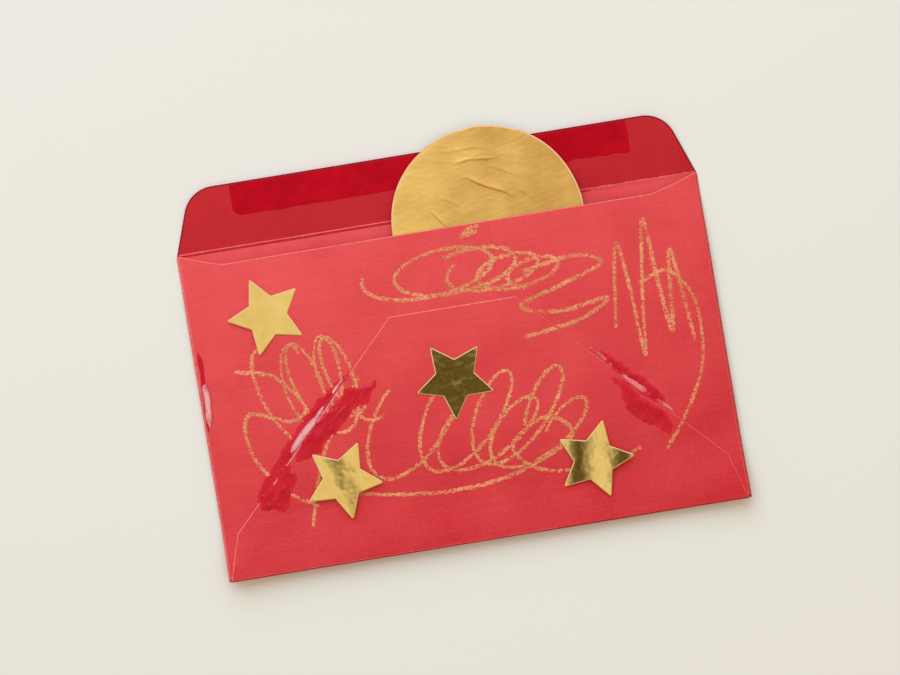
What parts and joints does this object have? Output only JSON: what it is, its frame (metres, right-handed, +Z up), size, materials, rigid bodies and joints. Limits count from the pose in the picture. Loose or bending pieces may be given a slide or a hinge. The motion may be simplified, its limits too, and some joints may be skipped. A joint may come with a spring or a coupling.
{
  "type": "paper envelope",
  "caption": "Red paper envelope with an open gummed flap, glued slanting seams, gold foil star stickers and a gold card coin that slides in its mouth.",
  "frame": {"origin": "middle of the back panel's underside, where the envelope rests on a table", "axes": "+X along the envelope's width to the right, +Y towards the open flap, +Z up out of the decorated face"},
  "size_m": [0.1403, 0.1093, 0.0036],
  "materials": {
    "red_paper": "matte",
    "gum": "glossy dried gum",
    "gold_foil": "mirror-like metal foil on a paper backing",
    "dried_glue": "glossy, clear over red paper",
    "card": "matte",
    "gold_paint": "satin metallic paint with brush ridges"
  },
  "bodies": {
    "envelope": {"back_panel": "red_paper", "left_side_flap": "red_paper", "right_side_flap": "red_paper", "bottom_flap": "red_paper", "star_upper_left": "gold_foil", "star_centre": "gold_foil", "star_lower_left": "gold_foil", "star_lower_right": "gold_foil", "left_seam_glue": "dried_glue", "right_seam_glue": "dried_glue", "left_edge_glue": "dried_glue"},
    "flap": {"closure_flap": "red_paper", "gum_strip": "gum"},
    "coin": {"coin_core": "card", "coin_gold_front": "gold_paint", "coin_gold_back": "gold_paint"}
  },
  "joints": [
    {"name": "coin_slide", "type": "slide", "parent": "envelope", "child": "coin", "axis": [0, 0.9997, 0.0262], "range_m": [-0.026, 0.034]},
    {"name": "flap_fold", "type": "hinge", "parent": "envelope", "child": "flap", "pos_m": [0, 0.044, 0], "axis": [1, 0, 0], "range_deg": [-184.5, 0.7]}
  ]
}
